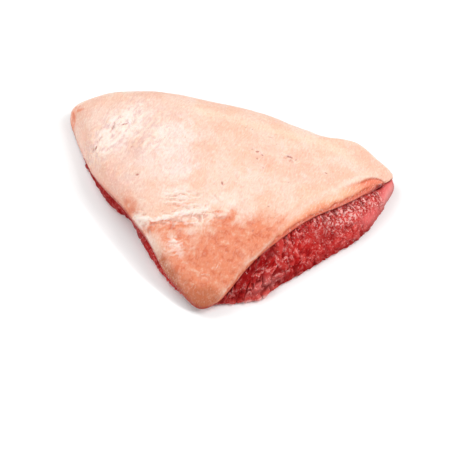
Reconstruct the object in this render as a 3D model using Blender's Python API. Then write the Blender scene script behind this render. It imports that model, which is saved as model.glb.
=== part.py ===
"""Raw picanha: a rounded-triangle slab of lean meat under its fat cap.

Two solids, one for each thing that shows. The fat cap lies over the lean, rolls down round the
back and the left side, and ends in a cut edge above the sloping cut face at the front right.

Both solids are lofts between unlike sections. Each station below gives the section at one place
of the outline, and a closed spline carries the stations' values round the whole outline. The top
is the smoothest sheet through the stations' brows and a few heights further in. The sections run
inwards to one middle point, and every ring of the mesh follows from them.

Sizes are in millimetres and are scaled to metres when the meshes are made. +X runs along the long
back edge, the thin tip points to -Y, +Z is up, and the origin is under the middle of the box.
"""

import math
from typing import NamedTuple

import bpy
import numpy as np

MM = 0.001

# Driving dimensions.
MIDDLE = (-5.0, 28.0)        # where all the sections meet, in plan
FAT_IN_MIDDLE = 8.0          # thickness of the fat there
SEAM_GAP = 0.3               # kept open between the fat and the lean
FOOT_ROUND = 2.5             # how the lean's lower edge curls under
PLAN_SHIFT = (10.8, -1.6)    # from the stations' own origin to the middle of the box

# How finely the lofts are made.
SEGMENTS = 96                # round the outline
ROLL_RINGS = 7               # over the rounded edge of the fat
CROWN_RINGS = 7              # from that edge to the middle
UNDER_RINGS = 9              # under the fat, and over the lean
SIDE_RINGS = 5               # down the lean's side


class Station(NamedTuple):
    """The section at one place of the outline, going round counter-clockwise from the tip."""

    rim_x: float     # lowest outer edge of the fat
    rim_y: float
    rim_z: float
    foot_x: float    # where the lean meets the ground
    foot_y: float
    lip: float       # width of the fat's edge seen from below
    roll: float      # how far in the rounded edge reaches
    brow: float      # height of the top over the rim, if the edge weren't rounded
    square: float    # 2 is a quarter ellipse, less is nearer a straight slope
    belly: float     # how far the lean's side swells outwards
    fat: float       # thickness of the fat behind its edge


STATIONS = {
    "tip": Station(-2, -113, 6, -2, -109.5, 1.5, 9, 12.5, 2.0, 0, 5),
    "tip cut": Station(8, -108, 9, 9, -104, 1.0, 7, 14.5, 1.8, 0, 5),
    "lower cut": Station(18, -95.5, 15, 24, -100, 1.0, 6, 19.5, 1.7, 1, 4.5),
    "flap": Station(30, -77, 24, 43, -92, 1.0, 5, 28, 1.6, 2, 4),
    "low cut": Station(46, -56, 31, 61.5, -74.5, 1.0, 5, 35, 1.6, 3, 4),
    "middle cut": Station(80, -18.5, 36, 99, -36.5, 1.0, 8, 43, 1.6, 4, 7),
    "high cut": Station(107.5, 3, 33, 124, -11.5, 1.0, 9, 41.5, 1.6, 4, 9),
    "cut end": Station(135, 36, 24, 143.5, 30, 1.2, 10, 32, 1.7, 3, 8),
    "right tip": Station(148, 57, 13, 149.5, 57.5, 2.0, 12, 22, 2.0, 1, 6),
    "right back": Station(133, 72, 8, 128, 66, 4.0, 16, 25, 2.0, 0, 6),
    "right shoulder": Station(119, 82.5, 7, 113, 75, 5.0, 22, 30, 2.0, 0, 6),
    "back dip": Station(99, 80.5, 8, 95, 72, 6.0, 26, 36, 2.0, 0, 7),
    "back bend": Station(70, 88, 8, 67, 79, 6.0, 33, 42, 2.0, 0, 8),
    "back right": Station(22.5, 105, 8, 21, 95, 6.0, 39, 46, 2.0, 0, 8),
    "back": Station(-43, 113.5, 7, -42, 104, 6.0, 42, 47, 2.0, 0, 8),
    "back left": Station(-118, 114.5, 5, -115, 105, 6.0, 36, 37, 2.0, 0, 7),
    "heel back": Station(-149, 108, 4, -143, 100, 6.0, 30, 30, 2.0, 0, 6),
    "heel": Station(-172, 91, 3, -162, 84, 5.0, 24, 24, 2.0, 0, 5),
    "heel side": Station(-159, 57, 4, -151, 52, 4.0, 20, 24, 2.0, 0, 5),
    "left high": Station(-137, 24, 10, -136.5, 23, 3.0, 14, 26, 2.0, 1, 5),
    "left": Station(-110, -9.5, 18.5, -109, -13.5, 2.5, 12, 30, 2.0, 2, 5),
    "notch": Station(-90, -30, 20, -86, -28, 2.5, 12, 31, 2.0, 1, 5),
    "left low": Station(-66, -55.5, 20, -67, -55, 2.0, 12, 30, 2.0, 2, 5),
    "left tip": Station(-30, -97, 10, -29.5, -95, 1.5, 10, 18, 2.0, 0, 5),
}

# Places of the top further in, each with its plan position and height.
INNER_HEIGHTS = {
    "middle": (*MIDDLE, 47.5),
    "back crest": (-26, 74, 48.5),
    "left crest": (-80, 70, 45.5),
    "right crest": (80, 57, 43),
    "left slope": (-95, 28, 39),
    "hollow": (-40, -35, 36.5),
    "over the tip": (4, -62, 31.5),
    "over the cut": (58, -2, 45),
}


class Sheet:
    """The smoothest sheet through some heights, which is a thin-plate spline."""

    def __init__(self, heights):
        self.places = np.array([row[:2] for row in heights], dtype=float)
        count = len(heights)
        flat = np.hstack([np.ones((count, 1)), self.places])
        bend = self.bending(self.places[:, None] - self.places[None])
        system = np.block([[bend, flat], [flat.T, np.zeros((3, 3))]])
        wanted = [row[2] for row in heights] + [0.0, 0.0, 0.0]
        self.weights = np.linalg.solve(system, np.array(wanted))

    @staticmethod
    def bending(gaps):
        square = (gaps**2).sum(axis=-1)
        return square * np.log(square + 1e-9)

    def height(self, x, y):
        bend = self.bending(np.array([x, y]) - self.places)
        return float(bend @ self.weights[:-3] + self.weights[-3:] @ (1.0, x, y))


BROWS = [(station.rim_x, station.rim_y, station.brow) for station in STATIONS.values()]
CROWN = Sheet(BROWS + list(INNER_HEIGHTS.values()))


def lengths_round(points):
    """Distance along a closed row of points, with the whole length last."""
    along = [0.0]
    for here, after in zip(points, points[1:] + points[:1]):
        along.append(along[-1] + math.dist(here, after))
    return along


def closed_spline(rows, count):
    """Rows of numbers, carried smoothly round the outline and read at even steps."""
    knots = lengths_round([row[:3] for row in rows])
    last = len(rows)
    gaps = np.diff(knots)[:, None]
    here = np.array(rows, dtype=float)
    after = np.roll(here, -1, axis=0)
    rise = (after - here) / gaps
    rise_in, gaps_in = np.roll(rise, 1, axis=0), np.roll(gaps, 1, axis=0)
    slope = (rise * gaps_in + rise_in * gaps) / (gaps_in + gaps)
    slope_after = np.roll(slope, -1, axis=0)

    read = []
    for step in range(count):
        at = knots[-1] * step / count
        i = max(k for k in range(last) if knots[k] <= at)
        gap = gaps[i, 0]
        t = (at - knots[i]) / gap
        read.append(
            (2 * t**3 - 3 * t**2 + 1) * here[i]
            + (t**3 - 2 * t**2 + t) * gap * slope[i]
            + (3 * t**2 - 2 * t**3) * after[i]
            + (t**3 - t**2) * gap * slope_after[i]
        )
    return read


def rounded(share, square):
    """Height of a rounded edge, from 0 at its foot to 1 where it joins the top."""
    share = min(max(share, 0.0), 1.0)
    return (1 - (1 - share) ** square) ** (1 / square)


class Section:
    """The section at one place of the outline, from the rim in to the middle."""

    def __init__(self, values):
        self.at = Station(*(float(value) for value in values))
        self.span = math.dist((self.at.rim_x, self.at.rim_y), MIDDLE)

    def place(self, inset):
        """Plan position at a distance in from the rim."""
        share = inset / self.span
        x = self.at.rim_x + (MIDDLE[0] - self.at.rim_x) * share
        y = self.at.rim_y + (MIDDLE[1] - self.at.rim_y) * share
        return x, y

    def top(self, inset):
        """A point of the fat's outer surface."""
        x, y = self.place(inset)
        drop = CROWN.height(*self.place(0)) - self.at.rim_z
        edge = rounded(inset / self.at.roll, self.at.square)
        return x, y, CROWN.height(x, y) - drop * (1 - edge)

    def under(self, inset, below=0.0):
        """A point of the fat's underside, or of the lean's top a little below it."""
        here, start = CROWN.height(*self.place(inset)), CROWN.height(*self.place(self.at.lip))
        share = (inset - self.at.lip) / (self.span - self.at.lip)
        fat = self.at.fat + (FAT_IN_MIDDLE - self.at.fat) * share
        drop = start - self.at.fat - self.at.rim_z
        edge = rounded((inset - self.at.lip) / (self.at.roll - self.at.lip), self.at.square)
        x, y = self.place(inset + below)
        return x, y, here - fat - drop * (1 - edge) - below

    def top_insets(self):
        """Where the outer rings lie: close together round the edge, then even."""
        turns = [math.pi / 2 * (k + 1) / ROLL_RINGS for k in range(ROLL_RINGS)]
        over_edge = [self.at.roll * (1 - math.cos(a) ** (2 / self.at.square)) for a in turns]
        left = self.span - self.at.roll
        inwards = [self.at.roll + left * (k + 1) / (CROWN_RINGS + 1) for k in range(CROWN_RINGS)]
        return over_edge + inwards

    def under_insets(self):
        """Where the inner rings lie, from the lip inwards."""
        near = UNDER_RINGS // 2
        far = UNDER_RINGS - near
        reach = self.at.roll - self.at.lip
        turns = [math.pi / 2 * k / near for k in range(near)]
        left = self.span - self.at.roll
        return [self.at.lip + reach * (1 - math.cos(a)) for a in turns] + [
            self.at.roll + left * k / far for k in range(far)
        ]

    def side(self, down):
        """A point of the lean's side, from 0 under the fat to 1 at the foot."""
        x0, y0, z0 = self.under(self.at.lip, SEAM_GAP)
        z1 = min(FOOT_ROUND, z0 / 2)
        away_x, away_y = self.at.foot_x - MIDDLE[0], self.at.foot_y - MIDDLE[1]
        away = math.hypot(away_x, away_y)
        swell = self.at.belly * 4 * down * (1 - down)
        x = x0 + (self.at.foot_x - x0) * down + away_x / away * swell
        y = y0 + (self.at.foot_y - y0) * down + away_y / away * swell
        return x, y, z0 + (z1 - z0) * down

    def sole(self, share):
        """A point of the lean's flat underside, from 1 at the foot to 0 in the middle."""
        away = math.dist((self.at.foot_x, self.at.foot_y), MIDDLE)
        keep = share * (1 - FOOT_ROUND / away)
        x = MIDDLE[0] + (self.at.foot_x - MIDDLE[0]) * keep
        y = MIDDLE[1] + (self.at.foot_y - MIDDLE[1]) * keep
        return x, y, 0.0


def in_frame(point):
    """Stations' millimetres to metres about the middle of the box."""
    x, y, z = point
    return (x + PLAN_SHIFT[0]) * MM, (y + PLAN_SHIFT[1]) * MM, z * MM


def loft(name, start, rings, end, matched=0):
    """One closed mesh from a bottom point, through rings of equal count, to a top point.

    The first matched rings run the other way than the surface that faces them, so their squares
    are split along the other diagonal. The two surfaces then keep one gap all over.
    """
    count = len(rings[0])
    points = [start, *(p for ring in rings for p in ring), end]
    last = len(points) - 1

    def at(ring, i):
        return 1 + ring * count + i % count

    faces = [(0, at(0, i + 1), at(0, i)) for i in range(count)]
    for k in range(len(rings) - 1):
        for i in range(count):
            a, b, c, d = at(k, i), at(k, i + 1), at(k + 1, i + 1), at(k + 1, i)
            faces += [(a, b, d), (b, c, d)] if k < matched else [(a, b, c), (a, c, d)]
    faces += [(at(len(rings) - 1, i), at(len(rings) - 1, i + 1), last) for i in range(count)]

    mesh = bpy.data.meshes.new(name)
    mesh.from_pydata([in_frame(p) for p in points], [], faces)
    mesh.shade_smooth()
    return bpy.data.objects.new(name, mesh)


def make_fat_cap(sections):
    """The layer of fat, from the middle of its underside out over its edge to the crown."""
    under = [[s.under(s.under_insets()[k]) for s in sections] for k in range(UNDER_RINGS)]
    rim = [(s.at.rim_x, s.at.rim_y, s.at.rim_z) for s in sections]
    over = [[s.top(s.top_insets()[k]) for s in sections] for k in range(ROLL_RINGS + CROWN_RINGS)]
    crown = CROWN.height(*MIDDLE)
    bottom = (*MIDDLE, crown - FAT_IN_MIDDLE)
    rings = under[::-1] + [rim] + over
    return loft("fat_cap", bottom, rings, (*MIDDLE, crown), matched=UNDER_RINGS - 1)


def make_lean(sections):
    """The lean, from the middle of its flat underside out round its side to under the fat."""
    sole = [[s.sole(share) for s in sections] for share in (0.5, 1.0)]
    side = [[s.side(1 - k / SIDE_RINGS) for s in sections] for k in range(SIDE_RINGS)]
    over = [[s.under(s.under_insets()[k], SEAM_GAP) for s in sections] for k in range(UNDER_RINGS)]
    top = (*MIDDLE, CROWN.height(*MIDDLE) - FAT_IN_MIDDLE - SEAM_GAP)
    return loft("lean", (*MIDDLE, 0.0), sole + side + over, top)


def make_material(name, colour, roughness):
    """A plain finish in the piece's own colour."""
    material = bpy.data.materials.new(name)
    material.use_nodes = True
    shader = material.node_tree.nodes["Principled BSDF"]
    shader.inputs["Base Color"].default_value = (*colour, 1.0)
    shader.inputs["Roughness"].default_value = roughness
    shader.inputs["Metallic"].default_value = 0.0
    return material


def main():
    for old in list(bpy.data.objects):
        bpy.data.objects.remove(old)
    collection = bpy.data.collections.new("Raw picanha")
    bpy.context.scene.collection.children.link(collection)

    sections = [Section(values) for values in closed_spline(list(STATIONS.values()), SEGMENTS)]
    fat_cap = make_fat_cap(sections)
    fat_cap.data.materials.append(make_material("Fat", (0.86, 0.62, 0.50), 0.45))
    lean = make_lean(sections)
    lean.data.materials.append(make_material("Lean", (0.45, 0.05, 0.07), 0.35))
    for piece in (fat_cap, lean):
        collection.objects.link(piece)


if __name__ == "__main__":
    main()
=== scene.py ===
"""Raw picanha: how a slab of lean meat under its fat cap looks.

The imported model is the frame. Two dense skins stand for its two solids. They repeat the solids'
stations and surfaces much more finely, and Geometry Nodes raise the fine relief on them: lumps,
wrinkles and streaks on the fat, and bundles of muscle on the lean. What the relief shows is also
stored on the skins, so that the materials colour the same places. Flecks of fat are scattered
over the cut face by Geometry Nodes too.

Sizes here are in millimetres and are scaled to metres when meshes are made. +X runs along the
long back edge, the thin tip points to -Y, and +Z is up.
"""

import math
from typing import NamedTuple

import bpy
import numpy as np
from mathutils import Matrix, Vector


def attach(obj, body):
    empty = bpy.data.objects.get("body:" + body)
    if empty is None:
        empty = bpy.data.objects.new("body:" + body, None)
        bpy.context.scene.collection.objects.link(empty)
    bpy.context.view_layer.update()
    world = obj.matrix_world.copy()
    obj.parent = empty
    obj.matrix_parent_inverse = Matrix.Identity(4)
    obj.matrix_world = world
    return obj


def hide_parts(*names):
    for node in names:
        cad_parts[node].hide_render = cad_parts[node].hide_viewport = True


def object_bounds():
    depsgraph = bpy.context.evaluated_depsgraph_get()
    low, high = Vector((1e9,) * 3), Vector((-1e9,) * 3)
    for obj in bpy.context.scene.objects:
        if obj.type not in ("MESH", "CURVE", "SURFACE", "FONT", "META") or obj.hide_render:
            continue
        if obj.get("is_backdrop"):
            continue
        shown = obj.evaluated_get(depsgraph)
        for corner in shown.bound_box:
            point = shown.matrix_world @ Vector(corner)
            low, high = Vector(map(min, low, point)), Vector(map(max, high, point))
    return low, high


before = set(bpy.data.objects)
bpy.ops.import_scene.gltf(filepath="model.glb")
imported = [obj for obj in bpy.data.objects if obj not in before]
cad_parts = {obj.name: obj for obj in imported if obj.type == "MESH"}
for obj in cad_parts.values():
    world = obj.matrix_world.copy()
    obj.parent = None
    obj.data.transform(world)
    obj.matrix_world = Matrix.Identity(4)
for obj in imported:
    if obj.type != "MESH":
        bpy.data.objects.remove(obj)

CAD_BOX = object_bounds()

bl_info = {
    "name": "Raw picanha",
    "version": (1, 0, 0),
    "blender": (4, 5, 0),
    "location": "3D View > Sidebar > Picanha",
    "description": "Makes a raw picanha with its fat cap, cut face and stage",
    "category": "Add Mesh",
}

MM = 0.001

# The solids' own dimensions.
MIDDLE = np.array([-5.0, 28.0])        # where all the sections meet, in plan
FAT_IN_MIDDLE = 8.0                    # thickness of the fat there
SEAM_GAP = 0.3                         # kept open between the fat and the lean
FOOT_ROUND = 2.5                       # how the lean's lower edge curls under
PLAN_SHIFT = np.array([10.8, -1.6])    # from the stations' own origin to the middle of the box


class Station(NamedTuple):
    """The section at one place of the outline, going round counter-clockwise from the tip."""

    rim_x: float     # lowest outer edge of the fat
    rim_y: float
    rim_z: float
    foot_x: float    # where the lean meets the ground
    foot_y: float
    lip: float       # width of the fat's edge seen from below
    roll: float      # how far in the rounded edge reaches
    brow: float      # height of the top over the rim, if the edge weren't rounded
    square: float    # 2 is a quarter ellipse, less is nearer a straight slope
    belly: float     # how far the lean's side swells outwards
    fat: float       # thickness of the fat behind its edge


STATIONS = {
    "tip": Station(-2, -113, 6, -2, -109.5, 1.5, 9, 12.5, 2.0, 0, 5),
    "tip cut": Station(8, -108, 9, 9, -104, 1.0, 7, 14.5, 1.8, 0, 5),
    "lower cut": Station(18, -95.5, 15, 24, -100, 1.0, 6, 19.5, 1.7, 1, 4.5),
    "flap": Station(30, -77, 24, 43, -92, 1.0, 5, 28, 1.6, 2, 4),
    "low cut": Station(46, -56, 31, 61.5, -74.5, 1.0, 5, 35, 1.6, 3, 4),
    "middle cut": Station(80, -18.5, 36, 99, -36.5, 1.0, 8, 43, 1.6, 4, 7),
    "high cut": Station(107.5, 3, 33, 124, -11.5, 1.0, 9, 41.5, 1.6, 4, 9),
    "cut end": Station(135, 36, 24, 143.5, 30, 1.2, 10, 32, 1.7, 3, 8),
    "right tip": Station(148, 57, 13, 149.5, 57.5, 2.0, 12, 22, 2.0, 1, 6),
    "right back": Station(133, 72, 8, 128, 66, 4.0, 16, 25, 2.0, 0, 6),
    "right shoulder": Station(119, 82.5, 7, 113, 75, 5.0, 22, 30, 2.0, 0, 6),
    "back dip": Station(99, 80.5, 8, 95, 72, 6.0, 26, 36, 2.0, 0, 7),
    "back bend": Station(70, 88, 8, 67, 79, 6.0, 33, 42, 2.0, 0, 8),
    "back right": Station(22.5, 105, 8, 21, 95, 6.0, 39, 46, 2.0, 0, 8),
    "back": Station(-43, 113.5, 7, -42, 104, 6.0, 42, 47, 2.0, 0, 8),
    "back left": Station(-118, 114.5, 5, -115, 105, 6.0, 36, 37, 2.0, 0, 7),
    "heel back": Station(-149, 108, 4, -143, 100, 6.0, 30, 30, 2.0, 0, 6),
    "heel": Station(-172, 91, 3, -162, 84, 5.0, 24, 24, 2.0, 0, 5),
    "heel side": Station(-159, 57, 4, -151, 52, 4.0, 20, 24, 2.0, 0, 5),
    "left high": Station(-137, 24, 10, -136.5, 23, 3.0, 14, 26, 2.0, 1, 5),
    "left": Station(-110, -9.5, 18.5, -109, -13.5, 2.5, 12, 30, 2.0, 2, 5),
    "notch": Station(-90, -30, 20, -86, -28, 2.5, 12, 31, 2.0, 1, 5),
    "left low": Station(-66, -55.5, 20, -67, -55, 2.0, 12, 30, 2.0, 2, 5),
    "left tip": Station(-30, -97, 10, -29.5, -95, 1.5, 10, 18, 2.0, 0, 5),
}

# Places of the top further in, each with its plan position and height.
INNER_HEIGHTS = {
    "middle": (*MIDDLE, 47.5),
    "back crest": (-26, 74, 48.5),
    "left crest": (-80, 70, 45.5),
    "right crest": (80, 57, 43),
    "left slope": (-95, 28, 39),
    "hollow": (-40, -35, 36.5),
    "over the tip": (4, -62, 31.5),
    "over the cut": (58, -2, 45),
}

# How finely the skins are made.
ROUND = 896                            # points round the outline, a multiple of 8
FAT_STEPS = {"tip": 0.75, "right tip": 0.8, "back bend": 1.4, "back left": 1.3, "heel": 1.0}
LEAN_STEPS = {"tip": 0.45, "right tip": 0.5, "right back": 2.0, "heel": 2.0, "left high": 0.8}
FAT_RINGS = 140                        # from the rim over the top to the middle
FAT_EASING = 1.12                      # more than 1 sets the rings closer together at the rim
FAT_HALVES_AT = (0.52, 0.76, 0.88)     # shares of the way in where the rings halve their points
LEAN_RINGS = 80                        # down the side
PROFILE_TRIES = 300                    # readings of a section's length
# Coarse rings: shares of the way in, and one in how many points each keeps.
UNDERSIDE = (
    (0.85, 8), (0.65, 8), (0.5, 8), (0.4, 4), (0.32, 4), (0.25, 4), (0.2, 2), (0.15, 2),
    (0.11, 2), (0.08, 1), (0.055, 1), (0.035, 1), (0.018, 1), (0.007, 1), (0.0, 1),
)
LEAN_SOLE = ((0.2, 8), (0.5, 4), (0.8, 2), (0.95, 1), (1.0, 1))
LEAN_TOP = ((0.06, 1), (0.2, 2), (0.4, 4), (0.7, 8), (0.9, 8))

TUCK = 2.2                             # how far the lean's edge lies back under the fat
TUCK_REACH = 2.5                       # how far down the side that shows
SOLE_DOWN = 60.0                       # how far down the side the sole counts as being
BROAD_UNTIL = 85.0                     # the bundles near the tip are broader, up to here
BROAD_SHARE = 0.35                     # how much of their width that adds
CUT_LENGTH = 236.0                     # length of the rim over the cut face, from the tip
SWOLLEN_HEIGHT = 2.0                   # how far the fat's end over the cut stands out
RIM_REACH = 13.0                       # how far in from the rim the bulges reach
RIM_THINNED = 8                        # one in how many rim points the cut edge is measured from
EDGE_STRAY = 0.5                       # how far the lines of the cut edge wander
CREASE_STRAY = 0.8                     # how far the folds of the membrane wander
PATCH_EDGE = 2.3                       # more makes the patches' edges sharper
SHOULDERS = np.linspace(0.7, 1.5, 9)   # widths of rounding that are averaged, so no line shows

# The grain of the relief, in degrees from +X on the fat, and from straight down on the lean.
WRINKLE_TURN = 12
STREAK_TURN = 60
BACK_TURN = -3
FUZZ_TURN = 78
GRAIN_TURN = -30
FIBRE_TURN = -20
MARBLED_TURN = -40

# Noises that bend the patterns: the size of each, and how far it moves a place.
FAT_BENDS = ((14, 5), (5, 1.5))
FAT_COLOUR_BEND = (12, 5)
LEAN_BENDS = ((16, 12), (6, 6), (2.5, 1.5))
FLECK_BEND = (1, 0.9)
LIT_FROM = (-0.13, 0.02, 0.0)          # to the painted highlight at a bundle's upper edge, in its lengths and widths

# The flecks: the ways that they point, mostly down the face, and shares of their usual size.
FLECK_WAYS = ((-0.5, -0.5, -1.0), (0.5, 0.5, -1.0))
FLECK_SHARES = ((0.4, 0.5, 0.5), (1.3, 1.2, 1.0))

# Noises that the colours follow: their size, how often they are refined, and how strongly.
FAT_NOISES = {
    "broad": (26, 3.0, 0.5),
    "blotch": (9, 5.0, 0.6),
    "cloud": (6, 2.5, 0.5),
    "mottle": (3.4, 5.0, 0.65),
}
LEAN_NOISES = {"broad": (14, 3.0, 0.5), "blotch": (4.5, 4.0, 0.6), "fine": (1.5, 4.0, 0.65)}


class Sheet:
    """The smoothest sheet through some heights, which is a thin-plate spline."""

    def __init__(self, heights):
        self.places = np.array([row[:2] for row in heights], dtype=float)
        count = len(heights)
        flat = np.hstack([np.ones((count, 1)), self.places])
        bend = self.bending(self.places[:, None] - self.places[None])
        system = np.block([[bend, flat], [flat.T, np.zeros((3, 3))]])
        wanted = [row[2] for row in heights] + [0.0, 0.0, 0.0]
        self.weights = np.linalg.solve(system, np.array(wanted))

    @staticmethod
    def bending(gaps):
        square = (gaps**2).sum(axis=-1)
        return square * np.log(square + 1e-9)

    def height(self, plan):
        total = self.weights[-3] + plan @ self.weights[-2:]
        for place, weight in zip(self.places, self.weights):
            total = total + weight * self.bending(plan - place)
        return total


BROWS = [(station.rim_x, station.rim_y, station.brow) for station in STATIONS.values()]
CROWN = Sheet(BROWS + list(INNER_HEIGHTS.values()))


def rounded(share, square):
    """Height of a rounded edge, from 0 at its foot to 1 where it joins the top."""
    share = np.clip(share, 0.0, 1.0)
    return (1 - (1 - share) ** square) ** (1 / square)


def lifted(plan, height):
    """Plan positions with their heights."""
    return np.concatenate([plan, height[..., None]], axis=-1)


def carried_round(rows, knots, places):
    """The stations' rows of numbers, carried smoothly round and read at places along."""
    gaps = np.diff(knots)[:, None]
    after = np.roll(rows, -1, axis=0)
    rise = (after - rows) / gaps
    rise_in, gaps_in = np.roll(rise, 1, axis=0), np.roll(gaps, 1, axis=0)
    slope = (rise * gaps_in + rise_in * gaps) / (gaps_in + gaps)
    slope_after = np.roll(slope, -1, axis=0)
    i = np.searchsorted(knots, places, side="right") - 1
    gap = gaps[i]
    t = (places - knots[i])[:, None] / gap
    return (
        (2 * t**3 - 3 * t**2 + 1) * rows[i]
        + (t**3 - 2 * t**2 + t) * gap * slope[i]
        + (3 * t**2 - 2 * t**3) * after[i]
        + (t**3 - t**2) * gap * slope_after[i]
    )


class Outline:
    """The sections at many places of the outline at once, one row for each."""

    def __init__(self, steps):
        rows = np.array(list(STATIONS.values()), dtype=float)
        rims = np.vstack([rows[:, :3], rows[:1, :3]])
        knots = np.append(0.0, np.cumsum(np.linalg.norm(np.diff(rims, axis=0), axis=1)))
        self.along = self.spaced(dict(zip(STATIONS, knots)), knots[-1], steps)
        self.at = Station(*carried_round(rows, knots, self.along).T[..., None])
        self.rim = np.hstack([self.at.rim_x, self.at.rim_y])
        self.foot = np.hstack([self.at.foot_x, self.at.foot_y])
        self.span = np.linalg.norm(self.rim - MIDDLE, axis=1)[:, None]

    @staticmethod
    def spaced(knots, whole, steps):
        """Places along the outline, as far apart as the steps between some stations say."""
        fine = np.linspace(0.0, whole, 4 * ROUND)
        marks = [knots[name] for name in steps] + [whole]
        sizes = [*steps.values(), next(iter(steps.values()))]
        counted = np.append(0.0, np.cumsum(np.diff(fine) / np.interp(fine[1:], marks, sizes)))
        return np.interp(np.arange(ROUND) * counted[-1] / ROUND, counted, fine)

    def place(self, inset):
        """Plan positions at distances in from the rim."""
        share = (inset / self.span)[..., None]
        return self.rim[:, None] + (MIDDLE - self.rim)[:, None] * share

    def top(self, inset):
        """Points of the fat's outer surface."""
        plan = self.place(inset)
        drop = CROWN.height(self.rim)[:, None] - self.at.rim_z
        edges = [rounded(inset / (self.at.roll * k), self.at.square) for k in SHOULDERS]
        edge = sum(edges) / len(edges)
        return lifted(plan, CROWN.height(plan) - drop * (1 - edge))

    def under(self, inset, below=0.0):
        """Points of the fat's underside, or of the lean's top a little below it."""
        here = CROWN.height(self.place(inset))
        start = CROWN.height(self.place(self.at.lip))
        lip = self.at.lip
        fat = self.at.fat + (FAT_IN_MIDDLE - self.at.fat) * (inset - lip) / (self.span - lip)
        drop = start - self.at.fat - self.at.rim_z
        edge = rounded((inset - lip) / (self.at.roll - lip), self.at.square)
        return lifted(self.place(inset + below), here - fat - drop * (1 - edge) - below)

    def even_insets(self, rings):
        """Insets that cut each section's top into like steps, closer together at the rim."""
        tries = self.span * np.linspace(0.0, 1.0, PROFILE_TRIES) ** 2
        steps = np.linalg.norm(np.diff(self.top(tries), axis=1), axis=2)
        length = np.hstack([np.zeros((ROUND, 1)), np.cumsum(steps, axis=1)])
        wanted = length[:, -1:] * (np.arange(rings) / rings) ** FAT_EASING
        insets = [np.interp(*row) for row in zip(wanted, length, tries)]
        return np.array(insets), wanted

    def side(self, down):
        """Points of the lean's side, from 0 under the fat to 1 at the foot."""
        start = self.under(self.at.lip, SEAM_GAP)[:, 0]
        end_z = np.minimum(FOOT_ROUND, start[:, 2:] / 2)
        away = self.foot - MIDDLE
        away = away / np.linalg.norm(away, axis=1)[:, None]
        swell = self.at.belly * 4 * down * (1 - down)
        plan = start[:, None, :2] + (self.foot - start[:, :2])[:, None] * down[..., None]
        plan = plan + away[:, None] * swell[..., None]
        return lifted(plan, start[:, 2:] + (end_z - start[:, 2:]) * down)


# Meshes from rings


def ring(points, thin, *numbers):
    """Every so many points of one ring, with further numbers for each as columns."""
    columns = [np.broadcast_to(number, (ROUND,))[:, None] for number in numbers]
    return np.hstack([points, *columns])[::thin]


def ring_faces(lower, upper, lower_start, upper_start):
    """Faces between two rings of equal counts, or where one has twice the other's points."""
    i = np.arange(min(lower, upper))
    after = (i + 1) % len(i)
    if lower == upper:
        quads = [lower_start + i, lower_start + after, upper_start + after, upper_start + i]
        return np.stack(quads, axis=1).tolist()
    fine, coarse = (lower_start, upper_start) if lower > upper else (upper_start, lower_start)
    between = fine + 2 * i + 1
    onward = fine + (2 * i + 2) % (2 * len(i))
    corners = [
        (fine + 2 * i, between, coarse + i),
        (between, coarse + after, coarse + i),
        (between, onward, coarse + after),
    ]
    if upper > lower:
        corners = [three[::-1] for three in corners]
    return np.concatenate([np.stack(three, axis=1) for three in corners]).tolist()


def loft(name, bottom, rings, top):
    """One closed mesh from a bottom point, through rings, to a top point.

    It comes with a row for each point: x, y, z and the rings' further numbers. The two end
    points take theirs from the rings next to them.
    """
    first = np.append(bottom, rings[0][0, 3:])
    last = np.append(top, rings[-1][0, 3:])
    rows = np.vstack([first, *rings, last])
    starts = np.cumsum([1] + [len(r) for r in rings])

    i = np.arange(len(rings[0]))
    faces = np.stack([0 * i, 1 + np.roll(i, -1), 1 + i], axis=1).tolist()
    for k in range(len(rings) - 1):
        faces += ring_faces(len(rings[k]), len(rings[k + 1]), starts[k], starts[k + 1])
    i = np.arange(len(rings[-1]))
    crown = [starts[-2] + i, starts[-2] + np.roll(i, -1), 0 * i + starts[-1]]
    faces += np.stack(crown, axis=1).tolist()

    places = rows[:, :3].copy()
    places[:, :2] += PLAN_SHIFT
    mesh = bpy.data.meshes.new(name)
    mesh.from_pydata((places * MM).tolist(), [], faces)
    mesh.shade_smooth()
    return mesh, rows


def store(mesh, numbers):
    """Keeps numbers for each point of a mesh, which the trees and the materials then read."""
    for name, values in numbers.items():
        made = mesh.attributes.new(name, "FLOAT", "POINT")
        made.data.foreach_set("value", np.asarray(values, dtype=np.float32))


def show(name, data):
    """An object for a mesh, a light or a camera, at the origin."""
    thing = bpy.data.objects.new(name, data)
    bpy.context.scene.collection.objects.link(thing)
    return thing


# Where the looks lie, in the stations' plan

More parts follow.
